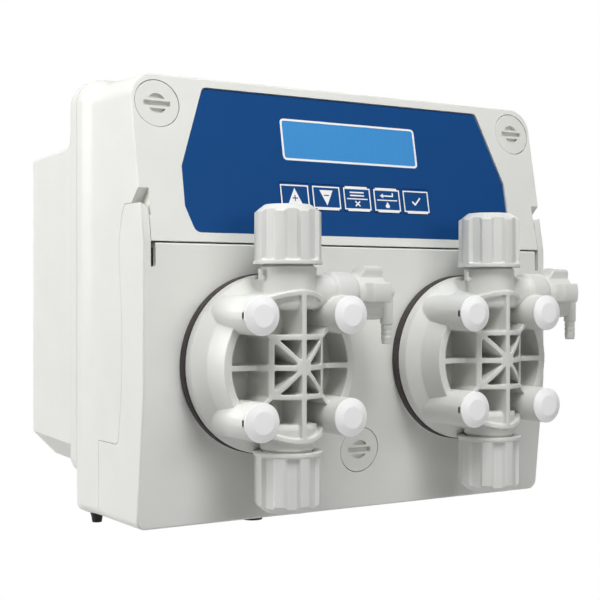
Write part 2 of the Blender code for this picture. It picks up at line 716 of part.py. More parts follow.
def make_bleed_valve(name, x, look):
    """The spindle through the knob, and the outlet that turns down into a hose barb."""
    start = 30.4
    profile = [(5.0, 0.0), (5.0, KNOB_TO + 0.6 - start), (3.5, KNOB_TO + 1.0 - start)]
    profile += [(3.5, OUTLET_X + 2.5 - start), (2.6, OUTLET_X + 3.3 - start)]
    valve = turned(name, profile, (x + start, NECK_DEPTH, BLEED_RISE), (1, 0, 0), SMALL_ROUND)
    fall = [(3.3, 0.0), (3.3, BLEED_RISE - 19.3), (2.7, BLEED_RISE - 19.3)]
    top = BLEED_RISE - 17.6
    for ridge in range(3):
        fall += [(3.0, top + 2.4 * ridge), (2.7, top + 2.4 * ridge + 1.8)]
    fall.append((2.3, BLEED_RISE - BARB_END))
    join(valve, turned("outlet", fall, (x + OUTLET_X, NECK_DEPTH, BLEED_RISE), (0, 0, -1), SMALL_ROUND))
    way = rod("way", 1.4, (x + OUTLET_X, NECK_DEPTH, BLEED_RISE), (0, 0, -1), 40, 8)
    return finish_piece(cut(valve, way), look)


def make_bleed_knob(name, x, look):
    """A knob with four lobes round the spindle, its origin on the spindle's axis."""
    outline = []
    for lobe in range(4):
        middle = lobe * math.pi / 2
        for turn, radius in ((-0.50, 9.8), (-0.385, KNOB_R - 0.6), (-0.28, KNOB_R), (0.0, KNOB_R + 0.1)):
            outline.append((middle + turn, radius))
        outline += [(middle + 0.28, KNOB_R), (middle + 0.385, KNOB_R - 0.6), (middle + 0.50, 9.8)]
        outline.append((middle + math.pi / 4, 8.7))
    layers = []
    for across, limit in ((KNOB_FROM, 8.6), (KNOB_FROM + 2.8, 9.8), (KNOB_FULL, 14.0), (KNOB_TO, 14.0)):
        points = [(min(r, limit) * math.cos(a), min(r, limit) * math.sin(a)) for a, r in outline]
        layers.append([Vector((across - KNOB_FROM, px, pz)) * MM for px, pz in points])
    knob = loft(name, layers)
    bpy.context.view_layer.update()
    bore = loft("bore", [[Vector((a, px, pz)) * MM for px, pz in ring_points(5.3, 24)] for a in (-5, 20)])
    cut(knob, bore)
    knob.location = place(x + KNOB_FROM, NECK_DEPTH, BLEED_RISE)
    return finish_piece(knob, look)


def make_drive(side, x, looks):
    """Gasket, diaphragm, plunger and solenoid along one head's axis."""
    ring = [(39.2, 0.0), (GASKET_R, 0.0), (GASKET_R, 4.6), (39.2, 4.6)]
    gasket = turned(side + "_head_gasket", ring, (x, -0.3, 0), (0, -1, 0), 32, closed=True)
    finish_piece(gasket, looks["gasket"])
    diaphragm = turned(side + "_diaphragm", [(30, 0.0), (30, 1.0), (9, 1.6)], (x, -3.2, 0), (0, -1, 0))
    set_origin(finish_piece(diaphragm, looks["diaphragm"]), (x, 0, 0))
    rod_profile = [(4.5, -2.9), (4.5, 15.0), (10.4, 15.0), (10.4, 60.0)]
    plunger = turned(side + "_plunger", rod_profile, (x, 0, 0), (0, 1, 0), 24)
    set_origin(finish_piece(plunger, looks["steel"]), (x, 0, 0))
    can = [(38.4, SPIGOT_FRONT), (38.4, BULKHEAD - 0.5), (SOLENOID_R, BULKHEAD - 0.5), (SOLENOID_R, SOLENOID_BACK)]
    solenoid = turned(side + "_solenoid", can, (x, 0, 0), (0, 1, 0))
    cut(solenoid, rod("rod_way", 5.2, (x, -10, 0), (0, 1, 0), 40, 24))
    cut(solenoid, rod("armature_room", 11.0, (x, 12, 0), (0, 1, 0), SOLENOID_BACK - 20, 24))
    for across, up in boss_places():
        cut(solenoid, rod("thread", 2.6, (x + across, -10, up), (0, 1, 0), 24, 8))
    finish_piece(solenoid, looks["coil"])


def make_fasteners(side, x, looks):
    """The four long head screws inside the bosses, and the white caps over them."""
    for index, (across, up) in enumerate(boss_places(), start=1):
        centre = (x + across, 0, up)
        shank = [(2.2, -11.0), (2.2, 17.6), (4.6, 17.6), (4.6, 22.4)]
        screw = turned(f"{side}_head_screw_{index}", shank, centre, (0, -1, 0), 8)
        finish_piece(screw, looks["steel"])
        plug = [(5.2, -36.0), (5.2, BOSS_FRONT - GAP), (BOSS_R, BOSS_FRONT - GAP), (BOSS_R, CAP_FRONT + 1.0), (5.6, CAP_FRONT)]
        profile = [(radius, -depth) for radius, depth in plug]
        cap = turned(f"{side}_cap_{index}", profile, centre, (0, -1, 0), MID_ROUND)
        finish_piece(cap, looks["cap"])


def make_pump_end(side, x):
    """Everything that belongs to one pump head, at width x."""
    looks = {
        "head": material("head_plastic", (0.76, 0.76, 0.72), 0.35),
        "nut": material("nut_plastic", (0.78, 0.78, 0.75), 0.32),
        "cap": material("cap_white", (0.86, 0.86, 0.87), 0.25),
        "gasket": material("gasket_rubber", (0.055, 0.045, 0.045), 0.7),
        "diaphragm": material("diaphragm_film", (0.85, 0.85, 0.82), 0.4),
        "steel": material("stainless_steel", (0.6, 0.6, 0.6), 0.3, 1.0),
        "coil": material("solenoid_housing", (0.1, 0.1, 0.11), 0.5),
        "ball": material("ball_ceramic", (0.9, 0.9, 0.88), 0.15),
    }
    make_pump_head(side, x, looks["head"])
    make_drive(side, x, looks)
    make_nut(side + "_discharge_nut", x, TOP_NUT, 1, looks["nut"])
    make_nut(side + "_suction_nut", x, LOW_NUT, -1, looks["nut"])
    make_valve(side + "_discharge_valve", x, 1, looks["head"])
    make_valve(side + "_suction_valve", x, -1, looks["head"])
    make_ball(side + "_discharge_ball", x, 37.0 + 3.6 + GAP, looks["ball"])
    make_ball(side + "_suction_ball", x, -49.0 + 3.6 + GAP, looks["ball"])
    make_bleed_valve(side + "_bleed_valve", x, looks["head"])
    make_bleed_knob(side + "_bleed_knob", x, looks["head"])
    make_fasteners(side, x, looks)


def main():
    for leftover in list(bpy.data.objects):
        bpy.data.objects.remove(leftover)
    looks = housing_looks()
    make_front_case(looks)
    make_lower_cover(looks)
    make_rear_case(looks)
    make_case_seal(looks)
    make_control_face(looks, slope_frame())
    make_low_screw(looks)
    make_underside(looks)
    make_pump_end("left", -HEAD_X)
    make_pump_end("right", HEAD_X)


main()
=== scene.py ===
import math

import bmesh
import bpy
from mathutils import Matrix, Vector


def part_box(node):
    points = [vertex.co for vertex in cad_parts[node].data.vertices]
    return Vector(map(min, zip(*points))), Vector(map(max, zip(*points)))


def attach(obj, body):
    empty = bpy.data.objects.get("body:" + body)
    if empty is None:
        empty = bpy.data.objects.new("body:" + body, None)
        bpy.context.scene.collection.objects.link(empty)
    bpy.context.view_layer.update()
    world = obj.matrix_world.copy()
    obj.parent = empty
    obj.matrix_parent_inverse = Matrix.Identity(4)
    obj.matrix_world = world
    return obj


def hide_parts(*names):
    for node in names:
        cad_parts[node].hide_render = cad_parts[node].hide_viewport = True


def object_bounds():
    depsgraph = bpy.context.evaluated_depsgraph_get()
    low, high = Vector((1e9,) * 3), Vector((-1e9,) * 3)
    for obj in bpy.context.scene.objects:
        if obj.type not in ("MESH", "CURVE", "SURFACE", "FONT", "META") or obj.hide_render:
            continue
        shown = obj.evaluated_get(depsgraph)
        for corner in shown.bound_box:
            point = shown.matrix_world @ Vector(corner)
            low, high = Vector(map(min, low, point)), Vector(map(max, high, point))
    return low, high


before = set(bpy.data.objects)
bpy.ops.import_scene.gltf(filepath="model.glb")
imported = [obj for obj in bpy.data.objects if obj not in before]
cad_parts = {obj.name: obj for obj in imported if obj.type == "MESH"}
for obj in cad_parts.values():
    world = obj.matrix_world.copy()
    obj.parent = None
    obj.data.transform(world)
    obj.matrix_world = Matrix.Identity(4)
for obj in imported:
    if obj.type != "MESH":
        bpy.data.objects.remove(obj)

cad_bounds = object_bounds()

MM = 0.001
SIDES = ("left", "right")

# Where the CAD put things: the depth of the front plane at the seam, and the height and places of the heads
gasket_low, gasket_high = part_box("left_head_gasket")
FACE_Y = gasket_high.y + 0.3 * MM
HEAD_Z = (gasket_low.z + gasket_high.z) / 2
HEAD_X = {}
for side in SIDES:
    low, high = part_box(side + "_head_gasket")
    HEAD_X[side] = (low.x + high.x) / 2 / MM

# Shape of the housing and heads in millimetres: widths from the middle, depths behind the front plane, rises
# above the head centres. The two parts of the face lean back by TOP_TILT and LOW_TILT.
TOP_TILT = math.radians(10.6)
LOW_TILT = math.radians(6.5)
SEAM = 59.6
TOP_RISE = 141.7
BOTTOM = (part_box("front_case")[0].z - HEAD_Z) / MM - 1.1
LOW_BEND = -14.0
CASE_HALF = 127.0
FLANGE_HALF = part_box("rear_case")[1].x / MM
FLANGE_TOP = (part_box("rear_case")[1].z - HEAD_Z) / MM
CASE_SPLIT = (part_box("front_case")[1].y - FACE_Y) / MM
DEPTH = (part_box("rear_case")[1].y - FACE_Y) / MM
RIM_BACK = CASE_SPLIT + 10.8
TAB_X = 122.6
TAB_TOP = 78.3
STEP_DEPTH = 52.0
STEP_RISE = -39.8
NECK = -26.9
BOSS = 24.6
BLEED_RISE = 35.3
NECK_FOOT = 27.2
WEB_FOOT = 27.8
NECK_BORE = 10.3
OUTLET_X = 58.5
CASE_EDGE = SEAM + 0.3
COVER_EDGE = SEAM - 0.5
SHELL_WALL = 3.0
RIGHT_EXTRA = 0.7
FLANGE_GAP = 0.3
KEY_UP = 25.9
KEY_SHIFT = 0.55
KEY_ORDER = ("key_up", "key_down", "key_menu", "key_enter", "key_set")
DOME_HALF = 19.0
WALL_FRONT = -30.4
DOME_HEIGHT = 12.0


# ---------------------------------------------------------------- helpers

def place(x, depth, rise):
    """A point from a width, a depth behind the seam plane and a rise above the head centres, in millimetres."""
    return Vector((x * MM, FACE_Y + depth * MM, HEAD_Z + rise * MM))


def add_mesh(name, bm):
    bmesh.ops.recalc_face_normals(bm, faces=bm.faces)
    mesh = bpy.data.meshes.new(name)
    bm.to_mesh(mesh)
    bm.free()
    made = bpy.data.objects.new(name, mesh)
    bpy.context.scene.collection.objects.link(made)
    return made


def loft(name, rings, closed=False):
    bm = bmesh.new()
    layers = [[bm.verts.new(p) for p in ring] for ring in rings]
    pairs = list(zip(layers, layers[1:]))
    if closed:
        pairs.append((layers[-1], layers[0]))
    else:
        bm.faces.new(layers[0])
        bm.faces.new(layers[-1])
    count = len(layers[0])
    for a, b in pairs:
        for i in range(count):
            j = (i + 1) % count
            bm.faces.new((a[i], a[j], b[j], b[i]))
    return add_mesh(name, bm)


def apply_modifiers(piece):
    bpy.context.view_layer.update()
    graph = bpy.context.evaluated_depsgraph_get()
    mesh = bpy.data.meshes.new_from_object(piece.evaluated_get(graph))
    piece.modifiers.clear()
    old = piece.data
    piece.data = mesh
    bpy.data.meshes.remove(old)
    return piece


def combine(target, tool, operation):
    modifier = target.modifiers.new("boolean", "BOOLEAN")
    modifier.operation = operation
    modifier.solver = "EXACT"
    modifier.object = tool
    apply_modifiers(target)
    bpy.data.objects.remove(tool)
    return target


def cut(target, *tools):
    for tool in tools:
        combine(target, tool, "DIFFERENCE")
    return target


def join(target, *tools):
    for tool in tools:
        combine(target, tool, "UNION")
    return target


def bevel(piece, width, segments=3, angle=35):
    modifier = piece.modifiers.new("bevel", "BEVEL")
    modifier.width = width * MM
    modifier.segments = segments
    modifier.limit_method = "ANGLE"
    modifier.angle_limit = math.radians(angle)
    modifier.use_clamp_overlap = False
    modifier.harden_normals = False
    return apply_modifiers(piece)


def clean(piece):
    bm = bmesh.new()
    bm.from_mesh(piece.data)
    bmesh.ops.remove_doubles(bm, verts=bm.verts, dist=0.004 * MM)
    bmesh.ops.dissolve_degenerate(bm, edges=bm.edges, dist=0.004 * MM)
    bm.to_mesh(piece.data)
    bm.free()
    return piece


def remesh(piece, voxel, smooth=4, keep=0.4):
    """Moulded look: one skin of even faces, with every edge and inner corner softly rounded."""
    modifier = piece.modifiers.new("remesh", "REMESH")
    modifier.mode = "VOXEL"
    modifier.voxel_size = voxel * MM
    modifier = piece.modifiers.new("smooth", "SMOOTH")
    modifier.factor = 0.5
    modifier.iterations = smooth
    if keep < 1:
        modifier = piece.modifiers.new("decimate", "DECIMATE")
        modifier.ratio = keep
    return apply_modifiers(piece)


def prism(name, outline, x_from, x_to):
    """Along X, outline in (depth, rise)."""
    return loft(name, [[place(x, d, r) for d, r in outline] for x in (x_from, x_to)])


def front_prism(name, outline, depth_from, depth_to):
    """Along the depth, outline in (width, rise)."""
    return loft(name, [[place(x, d, r) for x, r in outline] for d in (depth_from, depth_to)])


def box(name, low, high):
    return front_prism(
        name, [(low[0], low[2]), (high[0], low[2]), (high[0], high[2]), (low[0], high[2])], low[1], high[1]
    )


def circle(radius, count):
    angles = [2 * math.pi * i / count for i in range(count)]
    return [(radius * math.cos(angle), radius * math.sin(angle)) for angle in angles]


def turned(name, profile, centre, axis, count=72, closed=False, shape=None):
    """Turned about an axis; profile is (radius, along). shape(angle, along, radius) may change the radius."""
    turn = Vector((0, 0, 1)).rotation_difference(Vector(axis)).to_matrix()
    origin = place(*centre)
    rings = []
    for entry in profile:
        radius, along = entry[0], entry[1]
        shaped = shape is not None and len(entry) > 2
        ring = []
        for i in range(count):
            angle = 2 * math.pi * i / count
            r = shape(angle, along, radius) if shaped else radius
            ring.append(origin + turn @ (Vector((r * math.cos(angle), r * math.sin(angle), along)) * MM))
        rings.append(ring)
    return loft(name, rings, closed)


def rod(name, radius, centre, axis, length, count=48):
    return turned(name, [(radius, 0.0), (radius, length)], centre, axis, count)


def fillet(profile, radius, steps=4):
    """Rounds the corners of an open (radius, along) profile; radius is one number or one for each point."""
    radii = radius if isinstance(radius, (list, tuple)) else [radius] * len(profile)
    out = [tuple(profile[0])]
    for before, at, after, r in zip(profile, profile[1:], profile[2:], radii[1:]):
        a, b, c = Vector(before), Vector(at), Vector(after)
        u, v = (a - b), (c - b)
        if r <= 0 or u.length < 1e-6 or v.length < 1e-6:
            out.append(tuple(b))
            continue
        r = min(r, u.length * 0.48, v.length * 0.48)
        u.normalize()
        v.normalize()
        start, end = b + u * r, b + v * r
        for i in range(steps + 1):
            t = i / steps
            out.append(tuple(start * (1 - t) ** 2 + b * 2 * t * (1 - t) + end * t * t))
    out.append(tuple(profile[-1]))
    return out


def round_corners(outline, radius, steps=5):
    """Rounds every corner of a closed outline."""
    count = len(outline)
    radii = radius if isinstance(radius, (list, tuple)) else [radius] * count
    out = []
    for i in range(count):
        a, b, c = Vector(outline[i - 1]), Vector(outline[i]), Vector(outline[(i + 1) % count])
        u, v = (a - b), (c - b)
        r = min(radii[i], u.length * 0.48, v.length * 0.48)
        if r <= 0.01:
            out.append(tuple(b))
            continue
        u.normalize()
        v.normalize()
        half = u.angle(v) / 2
        back = min(r / math.tan(half), (a - b).length * 0.48, (c - b).length * 0.48)
        start, end = b + u * back, b + v * back
        for k in range(steps + 1):
            t = k / steps
            out.append(tuple(start * (1 - t) ** 2 + b * 2 * t * (1 - t) + end * t * t))
    return out


def rectangle(centre, size):
    x, z = centre
    w, h = size[0] / 2, size[1] / 2
    return [(x - w, z - h), (x + w, z - h), (x + w, z + h), (x - w, z + h)]


def disc(centre, radius, count=64):
    return [(centre[0] + x, centre[1] + z) for x, z in circle(radius, count)]


def plate(name, outline, front, back, matrix):
    """In a leaning face's own frame: outline in (across, up), front and back behind the face."""
    return loft(name, [[matrix @ (Vector((x, d, z)) * MM) for x, z in outline] for d in (front, back)])


def ring_plate(name, outer, inner, front, back, matrix):
    """A flat band between two outlines with equally many points."""
    rings = []
    for outline, d in ((outer, front), (inner, front), (inner, back), (outer, back)):
        rings.append([matrix @ (Vector((x, d, z)) * MM) for x, z in outline])
    return loft(name, rings, closed=True)


def smooth(piece, angle=32, flat_weight=True):
    piece.data.shade_smooth()
    for face in piece.data.polygons:
        if face.area > 40e-6 and abs(face.normal.y) > 0.96:
            face.use_smooth = False
    piece.data.set_sharp_from_angle(angle=math.radians(angle))
    if flat_weight:
        modifier = piece.modifiers.new("normals", "WEIGHTED_NORMAL")
        modifier.keep_sharp = True
        modifier.weight = 60
    return piece


def finish(piece, look, body, nodes=(), angle=32, weighted=True):
    piece.data.materials.clear()
    piece.data.materials.append(look)
    smooth(piece, angle, weighted)
    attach(piece, body)
    if nodes:
        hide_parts(*nodes)
    return piece


# ---------------------------------------------------------------- materials

def new_material(name):
    made = bpy.data.materials.new(name)
    made.use_nodes = True
    tree = made.node_tree
    return made, tree, tree.nodes["Principled BSDF"]


def noise(tree, coords, scale, detail=3.0, rough=0.5):
    node = tree.nodes.new("ShaderNodeTexNoise")
    node.inputs["Scale"].default_value = scale
    node.inputs["Detail"].default_value = detail
    node.inputs["Roughness"].default_value = rough
    tree.links.new(coords, node.inputs["Vector"])
    return node.outputs["Fac"]


def map_range(tree, value, low, high, to_low, to_high):
    node = tree.nodes.new("ShaderNodeMapRange")
    node.inputs["From Min"].default_value = low
    node.inputs["From Max"].default_value = high
    node.inputs["To Min"].default_value = to_low
    node.inputs["To Max"].default_value = to_high
    tree.links.new(value, node.inputs["Value"])
    return node.outputs["Result"]


def mix_colour(tree, factor, first, second):
    node = tree.nodes.new("ShaderNodeMix")
    node.data_type = "RGBA"
    sockets = [s for s in node.inputs if s.name == "A" and s.type == "RGBA"]
    sockets += [s for s in node.inputs if s.name == "B" and s.type == "RGBA"]
    for socket, value in zip(sockets, (first, second)):
        if isinstance(value, tuple):
            socket.default_value = (*value, 1.0)
        else:
            tree.links.new(value, socket)
    tree.links.new(factor, [s for s in node.inputs if s.name == "Factor" and s.type == "VALUE"][0])
    return [s for s in node.outputs if s.type == "RGBA"][0]


def plastic(name, colour, rough, grain, grain_scale, shade, metallic=0.0, ior=1.46):
    """Moulded plastic, or metal: fine grain, faint clouds in the colour and in the gloss."""
    made, tree, shader = new_material(name)
    coords = tree.nodes.new("ShaderNodeTexCoord").outputs["Object"]
    fine = noise(tree, coords, grain_scale, 2.0)
    cloud = noise(tree, coords, 38.0, 4.0, 0.6)
    marks = noise(tree, coords, 260.0, 5.0, 0.65)
    dark = tuple(c * shade for c in colour)
    tone = mix_colour(tree, map_range(tree, cloud, 0.35, 0.75, 0.0, 1.0), colour, dark)
    tree.links.new(tone, shader.inputs["Base Color"])
    gloss = map_range(tree, marks, 0.3, 0.7, rough - 0.05, rough + 0.07)
    tree.links.new(gloss, shader.inputs["Roughness"])
    bump = tree.nodes.new("ShaderNodeBump")
    bump.inputs["Strength"].default_value = grain
    bump.inputs["Distance"].default_value = 0.0002
    tree.links.new(fine, bump.inputs["Height"])
    tree.links.new(bump.outputs["Normal"], shader.inputs["Normal"])
    shader.inputs["Metallic"].default_value = metallic
    shader.inputs["IOR"].default_value = ior
    made.diffuse_color = (*colour, 1.0)
    return made


def display_material():
    """A lit display behind a clear window, with faint columns of character cells."""
    made, tree, shader = new_material("display_blue")
    coords = tree.nodes.new("ShaderNodeTexCoord").outputs["Object"]
    split = tree.nodes.new("ShaderNodeSeparateXYZ")
    tree.links.new(coords, split.inputs["Vector"])
    wave = tree.nodes.new("ShaderNodeMath")
    wave.operation = "PINGPONG"
    wave.inputs[1].default_value = 0.0022
    tree.links.new(split.outputs["X"], wave.inputs[0])
    columns = map_range(tree, wave.outputs[0], 0.00005, 0.0003, 1.0, 0.0)
    cloud = noise(tree, coords, 20.0, 2.0)
    dim = tuple(c * 0.95 for c in DISPLAY)
    base = mix_colour(tree, map_range(tree, cloud, 0.3, 0.7, 0.0, 1.0), DISPLAY, dim)
    faint = tree.nodes.new("ShaderNodeMath")
    faint.operation = "MULTIPLY"
    faint.inputs[1].default_value = 0.10
    tree.links.new(columns, faint.inputs[0])
    tone = mix_colour(tree, faint.outputs[0], base, tuple(c * 0.6 for c in DISPLAY))
    tree.links.new(tone, shader.inputs["Base Color"])
    tree.links.new(tone, shader.inputs["Emission Color"])
    shader.inputs["Emission Strength"].default_value = 0.14
    shader.inputs["IOR"].default_value = 1.15
    rough = map_range(tree, noise(tree, coords, 300.0), 0.3, 0.7, 0.12, 0.2)
    tree.links.new(rough, shader.inputs["Roughness"])
    bump = tree.nodes.new("ShaderNodeBump")
    bump.inputs["Strength"].default_value = 0.03
    bump.inputs["Distance"].default_value = 0.0001
    tree.links.new(noise(tree, coords, 120.0), bump.inputs["Height"])
    tree.links.new(bump.outputs["Normal"], shader.inputs["Normal"])
    return made


DISPLAY = (0.055, 0.26, 0.58)
WHITE = (0.80, 0.805, 0.765)
LOOKS = {
    "shell": plastic("shell_plastic", WHITE, 0.42, 0.14, 1300.0, 0.965),
    "screw": plastic("cover_screw_plastic", (0.77, 0.775, 0.735), 0.40, 0.12, 1300.0, 0.96),
    # The heads' white is darker than the housing's: partly the heads' own tone, and partly painted shade for
    # the heads' faces that the housing keeps out of the side light.
    "head": plastic("head_plastic", (0.73, 0.735, 0.70), 0.42, 0.08, 1500.0, 0.965),
    "nut": plastic("nut_plastic", (0.76, 0.765, 0.735), 0.42, 0.08, 1500.0, 0.965),
    "cap": plastic("cap_white", (1.0, 1.0, 1.0), 0.32, 0.05, 1700.0, 0.99),
    "gasket": plastic("gasket_rubber", (0.064, 0.050, 0.052), 0.62, 0.22, 1600.0, 0.8),
    "rubber": plastic("black_rubber", (0.012, 0.012, 0.013), 0.5, 0.2, 1600.0, 0.75),
    "panel": plastic("panel_blue", (0.011, 0.069, 0.232), 0.36, 0.04, 2200.0, 0.96, ior=1.12),
    "key": plastic("key_film", (0.012, 0.072, 0.238), 0.34, 0.04, 2200.0, 0.96, ior=1.12),
    "ink": plastic("printed_ink", (0.96, 0.96, 0.96), 0.42, 0.04, 2200.0, 0.97),
    "board": plastic("board_green", (0.02, 0.14, 0.06), 0.5, 0.2, 700.0, 0.8),
    "steel": plastic("stainless_steel", (0.6, 0.6, 0.6), 0.3, 0.1, 900.0, 0.9, metallic=1.0),
    "coil": plastic("solenoid_paint", (0.10, 0.10, 0.11), 0.5, 0.2, 900.0, 0.85),
    "film": plastic("diaphragm_film", (0.85, 0.85, 0.82), 0.4, 0.05, 1500.0, 0.96),
    "ball": plastic("ball_ceramic", (0.9, 0.9, 0.88), 0.15, 0.03, 1500.0, 0.98),
    "display": display_material(),
}


# ---------------------------------------------------------------- housing

def corner(centre, radius, start, steps, chamfer):
    points = []
    for i in range(steps + 1):
        angle = start + math.pi / 2 * i / steps
        points.append((centre[0] + radius * math.cos(angle), centre[1] + radius * math.sin(angle)))
    if not chamfer:
        return points
    first, last = points[0], points[-1]
    flat = []
    for i in range(steps + 1):
        share = i / steps
        flat.append(tuple(a + (b - a) * share for a, b in zip(first, last)))
    return flat


def section(half, low, high, low_r, high_r, chamfer=False, steps=9):
    """A rectangle across the housing with round corners; the lower ones may be chamfers."""
    right = half + RIGHT_EXTRA
    return (
        corner((right - high_r, high - high_r), high_r, 0.0, steps, False)
        + corner((-half + high_r, high - high_r), high_r, math.pi / 2, steps, False)
        + corner((-half + low_r, low + low_r), low_r, math.pi, steps, chamfer)
        + corner((right - low_r, low + low_r), low_r, 1.5 * math.pi, steps, chamfer)
    )


def depth_loft(name, sections):
    return loft(name, [[place(x, d, r) for x, r in outline] for d, outline in sections])


def face_depth(rise, inset=0.0):
    """Depth of the face at a rise: upright between the seam and LOW_BEND, leaning back above and below."""
    if rise >= SEAM:
        return (rise - SEAM) * math.tan(TOP_TILT) + inset
    if rise <= LOW_BEND:
        return (LOW_BEND - rise) * math.tan(LOW_TILT) + inset
    return inset


def outer_shell(name, back):
    """The outside of the front housing, rounded where the face meets the sides."""
    top_r, low_r = 12.0, 5.0
    stations = [
        (-12.0, CASE_HALF - 0.4, TOP_RISE + 0.35, top_r),
        (58.0, CASE_HALF + 0.5, TOP_RISE + 1.5, top_r),
    ]
    for i in range(1, 9):
        t = i / 8
        s = t * t * (3 - 2 * t)
        half = CASE_HALF + 0.5 + (FLANGE_HALF - CASE_HALF - 0.5) * s
        top = TOP_RISE + 1.5 + (FLANGE_TOP - TOP_RISE - 1.5) * s
        stations.append((58.0 + 14.0 * t, half, top, top_r + s))
    stations.append((back + 14.0, FLANGE_HALF, FLANGE_TOP, top_r + 1))
    made = depth_loft(name, [(d, section(h, BOTTOM, t, low_r, r)) for d, h, t, r in stations])
    rises = (FLANGE_TOP + 20, SEAM, LOW_BEND, BOTTOM - 20)
    outline = [(face_depth(rise), rise) for rise in rises] + [(-40.0, rises[-1]), (-40.0, rises[0])]
    cut(made, prism("front_cutter", outline, -160, 160))
    bevel(made, 1.15, 4, 50)
    return cut(made, box("back_cutter", (-160, back, -160), (160, 200, 200)))


def parting_outline(gap):
    """The lower cover seen from the side: its rear edge runs down to the step in front of the flange."""
    line = (
        (20.4, TAB_TOP), (23.0, 74.6), (24.6, 70.0), (25.9, 65.0), (26.6, SEAM + 0.3), (26.8, 54.0),
        (26.0, 42.0), (24.6, 30.0), (23.8, 18.0), (23.6, 6.0), (24.0, -6.0), (25.0, -18.0),
        (26.8, -31.0), (27.4, -35.4), (28.4, -38.2), (30.0, -39.5), (32.0, STEP_RISE),
        (STEP_DEPTH, STEP_RISE), (STEP_DEPTH, BOTTOM - 20),
    )
    return [(d + gap, r + gap) for d, r in line] + [(-40.0, BOTTOM - 20), (-40.0, TAB_TOP + gap)]


def cover_limits(gap, seam):
    """The space that the lower cover takes, grown by gap: below the seam, and up along its two side tabs."""
    edge, top, radius = TAB_X - gap, TAB_TOP + gap + 0.02, 5.0
    arc = []
    for i in range(7):
        angle = math.pi / 2 * i / 6
        arc.append((edge + radius * (1 - math.cos(angle)), top - radius + radius * math.sin(angle)))
    right = [(170.0, -200.0), (170.0, top)] + arc[::-1] + [(edge, seam)]
    outline = right + [(-x, r) for x, r in reversed(right)]
    limits = front_prism("limits", outline, -45, 150)
    return combine(limits, prism("side", parting_outline(gap), -175, 175), "INTERSECT")


SLOPE = Matrix.Translation(place(0, 0, SEAM)) @ Matrix.Rotation(-TOP_TILT, 4, "X")
SCREW_RISE = -47.7
LOW_PLACE = place(0, face_depth(SCREW_RISE), SCREW_RISE)
LOW_FACE = Matrix.Translation(LOW_PLACE) @ Matrix.Rotation(LOW_TILT, 4, "X")
SCREW_X, SCREW_UP, SCREW_R = 113.4, 69.2, 11.8
SCREW_PLACES = (
    ("cover_screw_left", SLOPE, (-SCREW_X, SCREW_UP)),
    ("cover_screw_right", SLOPE, (SCREW_X, SCREW_UP)),
    ("cover_screw_lower", LOW_FACE, (0.0, 0.0)),
)
PANEL_HALF = [(87.4, 79.3), (102.6, 38.6), (102.6, 18.4), (97.8, 5.4)]
PANEL = PANEL_HALF + [(-x, z) for x, z in reversed(PANEL_HALF)]


def panel_outline(margin=0.0):
    """The blue panel, grown by margin away from its middle."""
    middle = Vector((0.0, 42.0))
    grown = []
    for x, z in PANEL:
        away = Vector((x, z)) - middle
        grown.append((x + margin * (1 if away.x > 0 else -1), z + margin * (1 if away.y > 0 else -1)))
    radii = [3.2, 3.0, 4.0, 4.4]
    return round_corners(grown, radii + radii[::-1], 4)


def make_front_case():
    """Shell around the cover, with finger notches at the tabs, rooms inside and seats for panel and screws."""
    case = outer_shell("front_shell", CASE_SPLIT)
    cut(case, cover_limits(0.3, CASE_EDGE))
    for sign in (-1, 1):
        inner, outer = sorted((sign * (TAB_X - 0.9), sign * 160))
        notch = [(-5.0, TAB_TOP - 6), (13.0, TAB_TOP - 6), (13.0, TAB_TOP), (5.6, 85.5), (-5.0, 85.5)]
        cut(case, prism("notch", notch, inner, outer))
    chamfer = [(-0.4, CASE_EDGE + 0.8), (0.8, CASE_EDGE - 0.4), (-0.4, CASE_EDGE - 0.4)]
    cut(case, prism("chamfer", chamfer, -TAB_X, TAB_X))
    inside = CASE_HALF - 3.2
    room = section(inside, STEP_RISE + SHELL_WALL, TOP_RISE - SHELL_WALL, 2, 9, steps=3)
    cut(case, depth_loft("room", [(28.2, room), (CASE_SPLIT + 5, room)]))
    rises = (SEAM + SHELL_WALL, TOP_RISE - SHELL_WALL)
    upper = [(face_depth(r, 4.5), r) for r in rises] + [(40.0, rises[1]), (40.0, rises[0])]
    cut(case, prism("upper_room", upper, -inside + 5, inside - 5))
    cut(case, box("low_room", (-inside, 55, BOTTOM + SHELL_WALL), (inside, CASE_SPLIT - SHELL_WALL, -30)))
    cut(case, plate("recess", panel_outline(0.35), -6, 2.3, SLOPE))
    cut(case, plate("opening", rectangle((0, 43.5), (104, 54)), -5, 20, SLOPE))
    for name, matrix, centre in SCREW_PLACES[:2]:
        cut(case, plate("seat", disc(centre, SCREW_R + 0.3), -5, 3.2, matrix))
    for side in SIDES:
        x = HEAD_X[side]
        cut(case, rod("solenoid_hole", 27.6, (x, 10, 0), (0, 1, 0), 30))
        cut(case, rod("flange_seat", 39.2, (x, 10, 0), (0, 1, 0), 15.4))
    low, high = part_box("cable_gland")
    gland_x, gland_y = (low.x + high.x) / 2 / MM, ((low.y + high.y) / 2 - FACE_Y) / MM
    cut(case, rod("gland_hole", 5.0, (gland_x, gland_y, BOTTOM + 6), (0, 0, -1), 12))
    finish(clean(case), LOOKS["shell"], "housing", ["front_case"])


